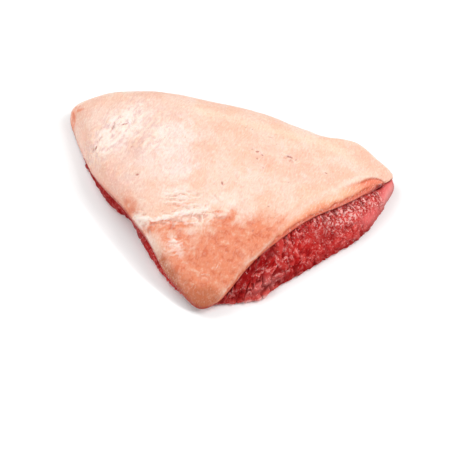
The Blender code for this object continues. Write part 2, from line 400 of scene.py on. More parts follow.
# A patch is a soft ellipse: its middle's x and y, half its length, half its width, degrees from
# +X to its long way, and how strong it is in its middle.
FAT_MASKS = {
    "salmon": (                        # thin fat on the front slope, the left edge and the heel
        (-168, 80, 16, 11, 60, 0.5), (-168, 77, 12, 4, -65, 1.1), (-162, 80, 8, 2.5, 5, 0.8),
        (-84, -32, 16, 9, -45, 0.75), (18, -52, 14, 12, 0, 1.2), (-50, -49, 20, 6, 10, 1.5),
        (-38, -28, 12, 3, 15, 0.6), (-34, -47, 14, 5, 5, 0.85), (-44, -62, 12, 8, -50, 0.7),
        (-2, -31, 6, 2, 0, 0.8), (12, -48, 24, 13, -12, 0.95), (8, -38, 5, 11, -8, 1.3),
        (30, -50, 30, 18, 45, 0.9), (2, -76, 38, 32, 20, 1.05), (-30, -62, 20, 10, -50, 0.8),
        (-26, -86, 32, 11, -52, 0.9), (-62, -60, 30, 5, -50, 0.25), (-8, -98, 26, 18, -40, 1.05),
        (40, -52, 34, 9, 50, 0.95), (-4, -108, 14, 9, 0, 1.6),
    ),
    "rosy": (                          # pinker fat, faint over the middle, along back and edges
        (62, 22, 30, 16, 10, 0.8), (94, 16, 34, 14, 40, 0.7), (-100, 22, 22, 16, -40, 0.4),
        (0, 100, 150, 12, -3, 0.7), (-140, 96, 40, 10, 8, 0.25), (-104, -8, 34, 10, -50, 0.75),
        (60, 42, 16, 10, 10, 0.8), (92, 34, 16, 9, 10, 0.7), (30, 26, 14, 12, 0, 0.9),
        (-150, 50, 36, 7, -58, 0.6), (124, 58, 30, 16, -30, 0.7), (20, 48, 34, 14, -15, 0.5),
        (-22, 62, 30, 12, 20, 0.4), (-50, -62, 30, 9, -50, 0.7), (78, -10, 34, 9, 42, 0.8),
    ),
    "white": (                         # whitish membrane, mostly on the heel and by the crease
        (-112, 52, 40, 24, 62, 1), (-62, 36, 40, 24, 60, 0.9), (-48, 10, 26, 22, 40, 0.75),
        (-42, -14, 22, 9, 15, 0.65), (-22, -30, 18, 8, 15, 0.7), (0, -18, 24, 10, 12, 0.6),
        (18, 16, 22, 14, 30, 0.4), (-70, -46, 14, 6, -40, 0.8), (-60, -62, 12, 5, -52, 0.7),
        (-36, -66, 6, 4, 0, 0.6), (-30, -74, 4, 4, 0, 0.6), (-28, -50, 16, 3, 10, 0.3),
        (80, 24, 30, 12, 40, 0.35),
    ),
    "cream": (                         # yellower fat along the crest and behind the cut edge
        (10, 70, 120, 6, -9, 0.6), (92, 58, 44, 6, -14, 0.6), (84, 0, 60, 10, 44, 0.6),
        (-20, -80, 9, 20, 0, 0.5),
    ),
    "streaked": (                      # streaks of the membrane on the heel
        (-118, 50, 48, 22, 62, 1.1), (-84, 44, 38, 26, 62, 0.85), (-100, 0, 34, 16, -45, 0.5),
        (-150, 74, 26, 14, 62, 0.4), (-50, 24, 34, 24, 62, 0.4),
    ),
    "fibrous": ((0, 90, 120, 17, -3, 1), (100, 66, 50, 12, -14, 0.7)),    # along the back
    "wrinkled": (                      # wrinkles round the crease and on the tip
        (-38, -22, 24, 12, 12, 0.95), (-30, -40, 38, 11, 10, 1), (2, -30, 16, 10, 20, 0.7),
        (-36, -66, 18, 14, -50, 0.8), (-75, -43, 14, 8, -30, 0.8), (0, -84, 26, 24, 0, 0.35),
        (-60, -4, 26, 20, 30, 0.35),
    ),
    "dusky": (                         # painted shade, browner, along the rolled rim by the tip
        (-38, -89, 30, 7, -44, 1), (-16, -104, 20, 10, -42, 0.8), (-2, -109, 20, 13, 0, 1.1),
    ),
    "nick": (                          # small slits and pits of the membrane
        (21, 37, 1.6, 1, 20, 0.9), (16, 39, 1.1, 0.7, 60, 0.7), (26, 34, 1.4, 0.8, -30, 0.7),
        (22, 29, 1.3, 0.9, 80, 0.6), (29, 20, 1.2, 0.7, 10, 0.5), (51, 37, 3.2, 0.9, -15, 0.8),
        (57, 35, 1.4, 0.8, 30, 0.6), (5, 64, 1.6, 0.7, 0, 0.5), (12, 63, 1.2, 0.7, 40, 0.5),
        (30, 57, 2, 0.7, -10, 0.5), (37, 50, 1.1, 0.6, 70, 0.5), (86, 26, 1.6, 0.7, -20, 0.7),
        (-120, 55, 0.8, 3.4, -12, 1), (-109, 57, 3.2, 0.8, 18, 0.8), (-131, 32, 0.7, 2.4, -8, 1),
        (-134, 31, 0.6, 1.8, -8, 0.7), (-84, 0, 1.8, 1.2, 30, 0.7), (-5, -2, 0.9, 2.2, 30, 0.8),
        (-55, 44, 2, 0.7, 20, 0.4), (-96, 30, 1.4, 0.7, 50, 0.5), (30, -45, 1.6, 0.8, 50, 0.5),
        (10, -66, 1.4, 0.8, 0, 0.4), (40, -20, 1.2, 0.9, 0, 0.5), (54, 8, 1.1, 0.8, 60, 0.4),
        (-20, 62, 1.2, 0.6, 10, 0.35),
    ),
}
FLUSHED = ((-118, 8, 80, 30, -53, 1),)      # pinker along the left rim
SLIT_SHADE = ((136, 34.5, 8, 4.5, 56, 1.2),)    # painted shade of a slit between the nose and the lean
REDDENED = (                           # where thin fat lets the lean's red through at the rim
    (-78, -42, 90, 14, -47, 1), (-20, -102, 32, 14, -45, 1.5), (0, -112, 12, 8, 20, 0.9),
    # the last patch, by the nose, is painted shade of the slit under it
    (-160, 68, 24, 14, 60, 0.85), (130, 28, 14, 6, 48, 0.8),
)
BULGES = (                             # where the fat hangs out over the side, or draws back
    (-122, 8, 32, 18, -52, 2.6), (72, -28, 44, 18, 46, 2), (148, 52, 6, 7, 60, -1.6),
    (157, 61, 9, 8, -50, 1.8),
)

LEAN_MASKS = {
    "pale": (                          # marbled part of the cut
        (106, -1, 40, 15, 44, 1), (132, 22, 18, 12, 50, 0.9), (148, 46, 14, 6, 66, 0.5),
    ),
    "calm": (                          # less uneven, low on the cut and along the left side
        (84, -36, 24, 10, 46, 1), (-100, -25, 120, 26, -48, 1),
    ),
    "pink": (                          # smooth film over the right end and the lower edge
        (148, 46, 19, 9, 66, 1.4), (139, 14, 30, 6, 45, 0.8), (110, -23, 36, 6, 42, 0.35),
    ),
    "film": (                          # thin pale film
        (149, 42, 22, 5, 70, 1), (134, 8, 16, 3, 50, 0.2), (48, -84, 16, 6, 45, 0.4),
    ),
    "shaded": (                        # darker, along the left side and the back
        (-100, -25, 110, 24, -48, 1), (-120, 100, 160, 40, 0, 0.6),
    ),
    "deep": (                          # painted shade, darkest near the tip and under the rim
        (39, -71, 25, 6, 52, 0.9), (62, -65, 14, 8, 50, 0.45), (24, -88, 22, 10, 52, 0.9),
        (92, -26, 20, 8, 46, 0.45),
    ),
}
SWOLLEN = (                            # how far the lean's side stands out, or back
    (-143, 34, 26, 14, -60, 2.6), (151, 52, 14, 12, 60, -1), (58, -80, 7, 5, 46, -2.2),
)
HOLLOWS = ((137, 36, 8, 5, 52, 3),)      # gap under the nose, darkened with painted shade
FLAPS = (                              # whitish membrane along the lower edge
    (47, -90, 13, 5, 43, 1), (34, -96, 9, 4, 20, 0.9), (58, -79, 6, 4, 45, 0.9),
    (20, -100, 7, 3, 10, 0.5),
)
# Pale ridges on the cut face, partly painted highlights. x runs along the rim, y down from it.
STROKES = (
    (69.5, 4.8, 3.6, 1.1, 85, 1), (63.5, 10.5, 2.4, 1.4, 70, 1.2), (63, 20, 7, 0.8, 98, 0.7),
    (52.5, 6.7, 2.6, 1.2, 60, 1), (54, 16.5, 4.4, 0.8, 85, 0.8), (41, 8, 2.4, 0.8, 20, 1.1),
    (44, 10.8, 2.6, 0.8, 60, 1), (27.8, 8.5, 2.4, 1.1, -15, 1.1), (22, 5.5, 1.8, 0.9, 40, 0.9),
    (73.6, 17.7, 3.2, 0.9, 80, 0.9), (85.6, 15.9, 2.4, 1, 15, 0.9), (80, 6, 3.2, 0.9, 100, 0.8),
    (96, 18, 2.4, 1, 70, 0.8), (35, 17, 2.4, 0.9, 110, 0.8),
)

# Folds of the membrane: a line in plan, the height of the fold, the depth of the hollow on its
# right side, and half the fold's width.
CREASES = (
    (((-90, -35), (-80, -38), (-70, -43), (-62, -45), (-54, -43), (-45, -40), (-34, -35), (-20, -31),
      (-8, -27)), 1, 0.7, 2.1),
    (((-84, -33), (-72, -38), (-58, -40), (-44, -36)), 0.3, 0.4, 0.9),
    (((-54, -21), (-47, -16), (-38, -15), (-28, -19)), 0.5, 0.5, 1.1),
    (((-50, -25), (-44, -21), (-37, -20), (-31, -23)), 0.5, 0.5, 0.9),
    (((-54, -29), (-44, -26), (-36, -27)), 0.35, 0.35, 0.9),
    (((-40, -32), (-31, -28), (-20, -26), (-12, -22)), 0.4, 0.35, 1),
    (((-27, -38), (-18, -34), (-8, -34)), 0.4, 0.5, 1),
    (((-24, -28), (-23, -34), (-25, -40)), 0.45, 0.6, 0.9),
    (((-16, -30), (-17, -37), (-15, -43)), 0.45, 0.6, 0.9),
    (((-32, -40), (-24, -44), (-14, -44)), 0.4, 0.35, 1),
    (((-44, -64), (-38, -61), (-33, -66)), 0.5, 0.35, 1.2),
    (((-46, -70), (-40, -72), (-34, -71)), 0.35, 0.3, 1.1),
    (((-10, -30), (-2, -34), (6, -33)), 0.35, 0.6, 1),
    (((-30, -12), (-22, -14), (-14, -12)), 0.3, 0.3, 0.9),
    (((-12, -10), (-6, -16), (0, -20)), 0.3, 0.35, 0.9),
    (((44, 41), (50, 37), (58, 38)), 0.4, 0.6, 1.2),
    (((-14, -86), (-8, -88), (-2, -86)), 0.4, 0.4, 1.1),
    (((2, -84), (5, -78), (4, -70)), 0.3, 0.3, 1.1),
)


class Edge(NamedTuple):
    """How the fat's cut edge looks at one place along the cut."""

    at: float        # distance along the rim from the tip
    reach: float     # from the rim up to the pale line over the edge
    line: float      # how strong the pale line is, partly a painted highlight
    rind: float      # from the rim up to where the orange starts
    lip: float       # from the rim up to the groove
    groove: float    # how strong the groove is


class Nose(NamedTuple):
    """How the fat's swollen end over the cut looks at one place along the cut."""

    at: float        # distance along the rim from the tip
    top: float       # from the rim up to the line round the nose
    share: float     # how strong it is


CUT_EDGE = (
    (0, 3, 0, 2, 1, 0.6), (24, 3.6, 0.4, 3.2, 1.6, 0.8), (42, 4.2, 0.3, 3.8, 1.7, 0.8),
    (56, 3.8, 0.4, 2.8, 1.1, 0.8), (72, 2.8, 0.5, 2.2, 1.2, 0.8), (91, 6.5, 0.2, 4.4, 3, 0.9),
    (102, 8.6, 0.2, 6.2, 2.8, 1), (121, 11, 0.25, 8.2, 2.2, 1), (140, 13.2, 0.3, 9.2, 2.2, 0.9),
    (154, 15.5, 0.35, 8.4, 3.8, 1), (166, 16, 0.45, 7.2, 4.2, 1), (177, 17, 0.6, 6.8, 4.6, 1),
    (189, 16, 0.6, 8, 5.2, 1), (197, 15.5, 0.5, 9, 4.8, 1), (204, 13.5, 0.3, 8, 3.2, 1),
    (212, 6, 0, 3, 1, 0.5), (218, 3, 0, 0, 0.5, 0),
)
NOSE = (
    (168, 15, 0), (175, 14.2, 0.2), (187, 12.3, 0.4), (193, 11.4, 0.9), (199, 11, 1), (206, 10, 1),
    (211, 7.5, 1), (216, 3.6, 1), (219, 0.5, 0),
)


def read_along(kind, rows, at):
    """A table's row at places along the cut, carried evenly from each row to the next."""
    places, *columns = np.array(rows, dtype=float).T
    return kind(at, *(np.interp(at, places, column) for column in columns))


def smooth_step(value, low, high):
    """From 0 at a low value to 1 at a high one, or the other way round."""
    share_in = np.clip((value - low) / (high - low), 0.0, 1.0)
    return share_in**2 * (3 - 2 * share_in)


def bell(value, width=1.0):
    """1 where a value is 0, falling off on both sides."""
    return np.exp(-((value / width) ** 2))


def patched(plan, patches):
    """How much of a look lies at each place, from the strongest of its patches."""
    shares = []
    for x, y, long, wide, turn, share in patches:
        turn = math.radians(turn)
        away = plan - (x, y)
        along = away @ (math.cos(turn), math.sin(turn)) / long
        across = away @ (-math.sin(turn), math.cos(turn)) / wide
        shares.append(share * np.exp(-(np.hypot(along, across) ** PATCH_EDGE)))
    strongest = np.argmax(np.abs(shares), axis=0)
    return np.take_along_axis(np.array(shares), strongest[None], axis=0)[0]


def beside(plan, line):
    """Distance from a line, more than 0 on its left, and the share of the way along it."""
    line = np.array(line, dtype=float)
    lengths = np.linalg.norm(np.diff(line, axis=0), axis=1)
    passed = np.append(0.0, np.cumsum(lengths))
    nearest = np.full(len(plan), np.inf)
    signed, share = np.zeros(len(plan)), np.zeros(len(plan))
    for start, end, length, before in zip(line, line[1:], lengths, passed):
        way = (end - start) / length
        along = np.clip((plan - start) @ way, 0.0, length)
        away = plan - start - along[:, None] * way
        far = np.linalg.norm(away, axis=1)
        closer = far < nearest
        nearest[closer] = far[closer]
        left = np.where(away @ (-way[1], way[0]) < 0, -1.0, 1.0)
        signed[closer] = (far * left)[closer]
        share[closer] = ((before + along) / passed[-1])[closer]
    return signed, share


def waves(plan, size, seed):
    """Soft random lumps of about one size, mostly between -1 and 1."""
    random = np.random.default_rng(seed)
    total = np.zeros(len(plan))
    count = 12
    for _ in range(count):
        turn, start = random.uniform(0.0, 2 * math.pi, 2)
        long = size * random.uniform(1.2, 2.6)
        along = plan @ (math.cos(turn), math.sin(turn))
        total += np.sin(along * 2 * math.pi / long + start)
    return total / math.sqrt(count)


def creased(plan):
    """Height of the folds, with a hollow on their right and a slighter one on their left."""
    strays = [waves(plan, size=6, seed=1), waves(plan, size=6, seed=2)]
    plan = plan + CREASE_STRAY * np.stack(strays, axis=1)
    thick = np.clip(1 + 0.45 * waves(plan, size=4, seed=3), 0.5, 1.6)
    height = np.zeros(len(plan))
    for line, ridge, trough, width in CREASES:
        signed, share = beside(plan, line)
        signed = signed / (width * thick)
        fades = np.sqrt(np.clip(np.sin(math.pi * share), 0.0, 1.0))
        right = trough * bell(signed + 2.4, 1.4)
        left = 0.7 * trough * bell(signed - 1.5, 0.6)
        height += fades * (ridge * bell(signed) - right - left)
    return height


# Node trees


class Wiring:
    """Adds nodes to one tree, and sets or joins their inputs."""

    def __init__(self, tree):
        self.tree = tree

    def give(self, socket, value):
        """Joins an input to another node's output, or sets it to a plain value."""
        if isinstance(value, bpy.types.NodeSocket):
            self.tree.links.new(value, socket)
        else:
            socket.default_value = value

    def node(self, kind, inputs=(), **settings):
        """A new node. inputs maps a socket's name or number to a value or another socket."""
        made = self.tree.nodes.new(kind)
        for name, value in settings.items():
            setattr(made, name, value)
        for key, value in dict(inputs).items():
            self.give(made.inputs[key], value)
        return made

    def out(self, kind, inputs=(), **settings):
        """The first output of a new node."""
        return self.node(kind, inputs, **settings).outputs[0]

    def maths(self, operation, *values, clamped=False):
        inputs = enumerate(values)
        return self.out("ShaderNodeMath", inputs, operation=operation, use_clamp=clamped)

    def total(self, first, *others):
        for other in others:
            first = self.maths("ADD", first, other)
        return first

    def times(self, first, *others):
        for other in others:
            first = self.maths("MULTIPLY", first, other)
        return first

    def less(self, first, *others):
        """What the others leave of the first, not under 0."""
        for other in others:
            first = self.maths("SUBTRACT", first, other, clamped=True)
        return first

    def centred(self, noise):
        """A noise moved so that it goes both ways from 0."""
        return self.maths("SUBTRACT", noise, 0.5)

    def ridged(self, noise):
        """Sharp ridges where a noise crosses its middle."""
        return self.less(1.0, self.times(self.maths("ABSOLUTE", self.centred(noise)), 4.0))

    def ramp(self, value, low, high, to_low=0.0, to_high=1.0):
        """A value carried from one range to another, with soft ends."""
        inputs = enumerate((value, low, high, to_low, to_high))
        return self.out("ShaderNodeMapRange", inputs, interpolation_type="SMOOTHSTEP")

    def vector(self, operation, *values):
        return self.out("ShaderNodeVectorMath", enumerate(values), operation=operation)

    def scaled(self, vector, by):
        return self.out("ShaderNodeVectorMath", {0: vector, "Scale": by}, operation="SCALE")

    def sized(self, at, long, wide=None):
        """Places measured in a pattern's own length and width, or in its one size."""
        across = long if wide is None else wide
        sizes = self.out("ShaderNodeCombineXYZ", {0: long, 1: across, 2: across})
        return self.vector("DIVIDE", at, sizes)

    def grained(self, at, turn, long, wide):
        """Places turned in plan and measured in a grain's own length and width."""
        inputs = {"Vector": at, "Angle": -math.radians(turn)}
        turned = self.out("ShaderNodeVectorRotate", inputs, rotation_type="Z_AXIS")
        return self.sized(turned, long, wide)

    def noise(self, at, size=None, detail=2.0, rough=0.5, part=0):
        """A noise at some places, which are measured in its size if one is given."""
        inputs = {"Vector": at if size is None else self.sized(at, size), "Scale": 1.0}
        inputs.update({"Detail": detail, "Roughness": rough})
        return self.node("ShaderNodeTexNoise", inputs).outputs[part]

    def noises(self, at, table):
        """A noise for each row of a table."""
        return [self.noise(at, size * MM, *others) for size, *others in table.values()]

    def cells(self, at, feature="F1"):
        inputs = {"Vector": at, "Scale": 1.0}
        return self.node("ShaderNodeTexVoronoi", inputs, feature=feature).outputs["Distance"]

    def stray(self, at, size, reach):
        """Moves to all sides that follow a noise. The size and the reach are in millimetres."""
        drawn = self.noise(at, size * MM, part="Color")
        return self.scaled(self.vector("SUBTRACT", drawn, (0.5, 0.5, 0.5)), reach * MM)

    def strayed(self, at, *bends):
        """Places moved about by some noises, so that a pattern read there is less regular."""
        for bend in bends:
            at = self.vector("ADD", at, self.stray(at, *bend))
        return at

    def mix(self, share, first, second):
        """A colour between two."""
        made = self.node("ShaderNodeMix", data_type="RGBA")
        ends = {"Factor_Float": share, "A_Color": first, "B_Color": second}
        for socket in made.inputs:
            if socket.identifier in ends:
                self.give(socket, ends[socket.identifier])
        return next(s for s in made.outputs if s.identifier == "Result_Color")


class ReliefTree(Wiring):
    """A Geometry Nodes tree with named sizes, which ends in plain geometry with a material."""

    def __init__(self, name, sizes):
        super().__init__(bpy.data.node_groups.new(name, "GeometryNodeTree"))
        socket = self.tree.interface.new_socket
        socket("Geometry", in_out="INPUT", socket_type="NodeSocketGeometry")
        socket("Material", in_out="INPUT", socket_type="NodeSocketMaterial")
        for label, default in sizes.items():
            socket(label, in_out="INPUT", socket_type="NodeSocketFloat").default_value = default
        socket("Geometry", in_out="OUTPUT", socket_type="NodeSocketGeometry")
        self.given = self.node("NodeGroupInput").outputs
        self.result = self.node("NodeGroupOutput")

    def read(self, name):
        made = self.node("GeometryNodeInputNamedAttribute", {"Name": name}, data_type="FLOAT")
        return made.outputs["Attribute"]

    def keep(self, geometry, **numbers):
        """Stores numbers on the points, for the materials and the next tree to read."""
        for name, value in numbers.items():
            inputs = {"Geometry": geometry, "Name": name, "Value": value}
            geometry = self.out("GeometryNodeStoreNamedAttribute", inputs, data_type="FLOAT")
        return geometry

    def moved(self, geometry, offset):
        return self.out("GeometryNodeSetPosition", {"Geometry": geometry, "Offset": offset})

    def raised(self, geometry, height):
        """The points moved along their normals."""
        return self.moved(geometry, self.scaled(self.out("GeometryNodeInputNormal"), height))

    def end(self, geometry):
        whole = self.out("GeometryNodeRealizeInstances", {0: geometry})
        inputs = {"Geometry": whole, "Material": self.given["Material"]}
        self.give(self.result.inputs[0], self.out("GeometryNodeSetMaterial", inputs))
        return self.tree


def grow(piece, tree, values):
    """Runs a Geometry Nodes tree on a piece, and keeps the result as its plain mesh."""
    modifier = piece.modifiers.new(tree.name, "NODES")
    modifier.node_group = tree
    for item in tree.interface.items_tree:
        if item.in_out == "INPUT" and item.name in values:
            modifier[item.identifier] = values[item.name]
    graph = bpy.context.evaluated_depsgraph_get()
    shown = piece.evaluated_get(graph)
    made = bpy.data.meshes.new_from_object(shown, preserve_all_data_layers=True, depsgraph=graph)
    piece.modifiers.remove(modifier)
    old = piece.data
    piece.data = made
    bpy.data.meshes.remove(old)
    made.name = piece.name
    return piece


def fat_tree(sizes):
    """Lumps, wrinkles, streaks, folds and nicks of the fat's membrane."""
    tree = ReliefTree("Fat relief", sizes)
    given, read, times = tree.given, tree.read, tree.times
    at = tree.out("GeometryNodeInputPosition")
    bent = tree.strayed(at, *FAT_BENDS)

    def drawn_out(kind, turn, **rest):
        """A noise in the length and width that the inputs give."""
        sized = tree.grained(bent, turn, given[kind + " length"], given[kind + " width"])
        return tree.noise(sized, **rest)

    lump = tree.centred(tree.noise(at, given["Lump size"], 1.5))
    dimple = tree.centred(tree.noise(at, given["Dimple size"], 4.0, 0.6))
    lumpy = tree.total(times(lump, given["Lump height"]), times(dimple, given["Dimple height"]))
    wrinkle = times(tree.ridged(drawn_out("Wrinkle", WRINKLE_TURN)), read("wrinkled"))
    streak = tree.ramp(drawn_out("Streak", STREAK_TURN, detail=4.0, rough=0.6), 0.3, 0.7)
    streak = times(streak, read("streaked"))
    fibre = times(drawn_out("Fibre", BACK_TURN), read("fibrous"))
    torn = tree.ramp(tree.noise(at, 6 * MM, 3.0), 0.3, 0.6, 0.35, 1.2)
    fold = times(read("crease"), torn)
    height = tree.total(
        times(read("bare"), lumpy),
        times(wrinkle, given["Wrinkle height"]),
        times(streak, given["Streak height"]),
        times(fibre, given["Fibre height"]),
        times(fold, MM),
        times(read("nick"), given["Nick depth"], -1.0),
        times(read("groove"), given["Groove depth"], -1.0),
        times(read("bulge"), MM),
    )
    kept = tree.keep(given["Geometry"], wrinkle=wrinkle, streak=streak, fold=fold)
    return tree.end(tree.raised(kept, height))


def lean_tree(sizes):
    """Bundles of muscle on the cut face, with grooves between them."""
    tree = ReliefTree("Lean relief", sizes)
    given, read, times, ramp = tree.given, tree.read, tree.times, tree.ramp
    flat = tree.out("ShaderNodeCombineXYZ", {0: read("down"), 1: read("along"), 2: 0.0})
    bent = tree.strayed(flat, *LEAN_BENDS)

    def grained(kind, turn=GRAIN_TURN):
        """Places measured in the length and width that the inputs give."""
        return tree.grained(bent, turn, given[kind + " length"], given[kind + " width"])

    lobe_at = grained("Bundle")
    inside = tree.cells(lobe_at, "DISTANCE_TO_EDGE")
    bundle = ramp(inside, 0.0, 0.3)
    lobe = tree.node("ShaderNodeTexVoronoi", {"Vector": lobe_at, "Scale": 1.0})
    tone = tree.out("ShaderNodeSeparateXYZ", {0: lobe.outputs["Color"]})
    # A painted highlight on each bundle's upper edge, on the side toward LIT_FROM.
    above_at = tree.vector("ADD", lobe_at, LIT_FROM)
    lit = tree.maths("SUBTRACT", inside, tree.cells(above_at, "DISTANCE_TO_EDGE"))
    lit = times(ramp(lit, 0.03, 0.1), ramp(inside, 0.3, 0.1))
    strand = tree.ridged(tree.noise(grained("Strand"), detail=1.0, rough=0.55))
    fibre = tree.ridged(tree.noise(grained("Fibre", FIBRE_TURN), detail=1.5, rough=0.55))
    opening = tree.noise(flat, 9 * MM)
    fissure = times(ramp(inside, 0.13, 0.0), ramp(opening, 0.4, 0.6))
    web = times(lit, ramp(opening, 0.6, 0.45))
    grainy, calm = read("pale"), read("calm")
    grain = times(ramp(tree.noise(grained("Grain", MARBLED_TURN)), 0.48, 0.6), grainy)
    comb = ramp(tree.noise(grained("Comb", FIBRE_TURN), detail=1.0), 0.5, 0.58)
    comb = times(comb, read("combed"))
    swell = tree.centred(tree.noise(flat, given["Swell size"], 1.0))

    rough = tree.less(1.0, times(read("pink"), 0.85))
    coarse = tree.less(rough, times(grainy, 0.55), times(calm, 0.65))
    fine = tree.less(rough, times(calm, 0.5))
    height = tree.total(
        times(bundle, given["Bundle height"], coarse, tree.total(tone, 0.4)),
        times(fissure, given["Bundle height"], coarse, -0.3),
        times(strand, given["Strand height"], fine),
        times(fibre, given["Fibre height"], fine),
        times(grain, given["Grain height"]),
        times(swell, given["Swell height"]),
        times(comb, given["Comb depth"], -1.0),
        times(read("hollowed"), MM, -1.0),
        times(read("stroke"), given["Stroke height"]),
        times(read("flap"), ramp(opening, 0.25, 0.55), given["Flap height"]),
        times(given["Bundle height"], coarse, -0.5),
        times(given["Strand height"], fine, -0.5),
    )
    parted = {"fissure": times(fissure, coarse), "tone": times(tone, coarse)}
    parted["web"] = times(web, coarse)
    kept = tree.keep(
        given["Geometry"], **parted, bundle=bundle, strand=strand, grain=grain, comb=comb
    )
    return tree.end(tree.raised(kept, times(height, read("free"))))


def fleck_tree(sizes):
    """Slivers of fat, scattered over the cut face and laid down the bundles."""
    tree = ReliefTree("Flecks", sizes)
    given, grainy = tree.given, tree.read("pale")

    def drawn(low, high, seed):
        """A random vector for each sliver."""
        inputs = {0: low, 1: high, "Seed": seed}
        return tree.out("FunctionNodeRandomValue", inputs, data_type="FLOAT_VECTOR")

    def aligned(inputs, **settings):
        return tree.out("FunctionNodeAlignRotationToVector", inputs, **settings)

    thick = tree.total(tree.times(grainy, 1.2), 0.3)
    density = tree.times(tree.read("flecked"), thick, given["Flecks in a square metre"])
    inputs = {"Mesh": given["Geometry"], "Density": density, "Seed": 7}
    points = tree.node("GeometryNodeDistributePointsOnFaces", inputs, distribute_method="RANDOM")
    facing = aligned({"Vector": points.outputs["Normal"]}, axis="Z")
    tilt = drawn(*FLECK_WAYS, seed=3)
    lain = aligned({"Rotation": facing, "Vector": tilt}, axis="X", pivot_axis="Z")
    inputs = {0: given["Fleck length"], 1: given["Fleck width"], 2: given["Fleck height"]}
    usual = tree.out("ShaderNodeCombineXYZ", inputs)
    uneven = tree.vector("MULTIPLY", drawn(*FLECK_SHARES, seed=5), usual)
    scale = tree.scaled(uneven, tree.less(1.0, tree.times(grainy, 0.35)))
    sliver = tree.out("GeometryNodeMeshIcoSphere", {"Radius": 0.5, "Subdivisions": 2})
    inputs = {"Points": points.outputs["Points"], "Instance": sliver}
    inputs.update({"Rotation": lain, "Scale": scale})
    laid = tree.out("GeometryNodeInstanceOnPoints", inputs)
    whole = tree.out("GeometryNodeRealizeInstances", {0: laid})
    at = tree.out("GeometryNodeInputPosition")
    torn = tree.moved(whole, tree.stray(at, *FLECK_BEND))
    return tree.end(tree.out("GeometryNodeSetShadeSmooth", {0: torn}))


# Materials


def linear(shown):
    """One part of a colour as light, from how it shows on a screen, 0 to 255."""
    share = shown / 255
    return share / 12.92 if share <= 0.04045 else ((share + 0.055) / 1.055) ** 2.4


def opaque(colour):
    return (*colour, 1.0)


class Finish(Wiring):
    """A material with one Principled BSDF."""

    def __init__(self, name, **constant):
        self.material = bpy.data.materials.new(name)
        self.material.use_nodes = True
        super().__init__(self.material.node_tree)
        self.shader = self.tree.nodes["Principled BSDF"]
        for socket, value in constant.items():
            self.shader.inputs[socket.replace("_", " ")].default_value = value
        self.at = self.node("ShaderNodeTexCoord").outputs["Object"]

    def read(self, name, *limits):
        """A number stored on the points, or how far it is from one limit to the other."""
        found = self.node("ShaderNodeAttribute", attribute_name=name).outputs["Fac"]
        return self.ramp(found, *limits) if limits else found

    def set(self, socket, value):
        self.tree.links.new(value, self.shader.inputs[socket])

    def coloured(self, base, look, tints):
        """Lays tints over a base in turn, each as strongly as the product of its shares."""
        for colour, *shares in tints:
            base = self.mix(self.times(*shares), base, opaque(getattr(look, colour)))
        self.set("Base Color", base)

    def grained_by(self, height, depth):
        inputs = {"Height": height, "Distance": depth, "Strength": 1.0}
        self.set("Normal", self.out("ShaderNodeBump", inputs))

    def wetted(self, look, pattern, coat):
        """Roughness that follows a pattern, under a thin coat."""
        self.set("Roughness", self.ramp(pattern, 0.3, 0.7, look.gloss_low, look.gloss_high))
        self.set("Coat Weight", coat)


def meat_finish(name, look, radius, **constant):
    """The start of a soft, moist material."""
    return Finish(
        name,
        Subsurface_Weight=look.softness,
        Subsurface_Radius=radius,
        Subsurface_Scale=look.soft_depth,
        IOR=1.42,
        **constant,
    )


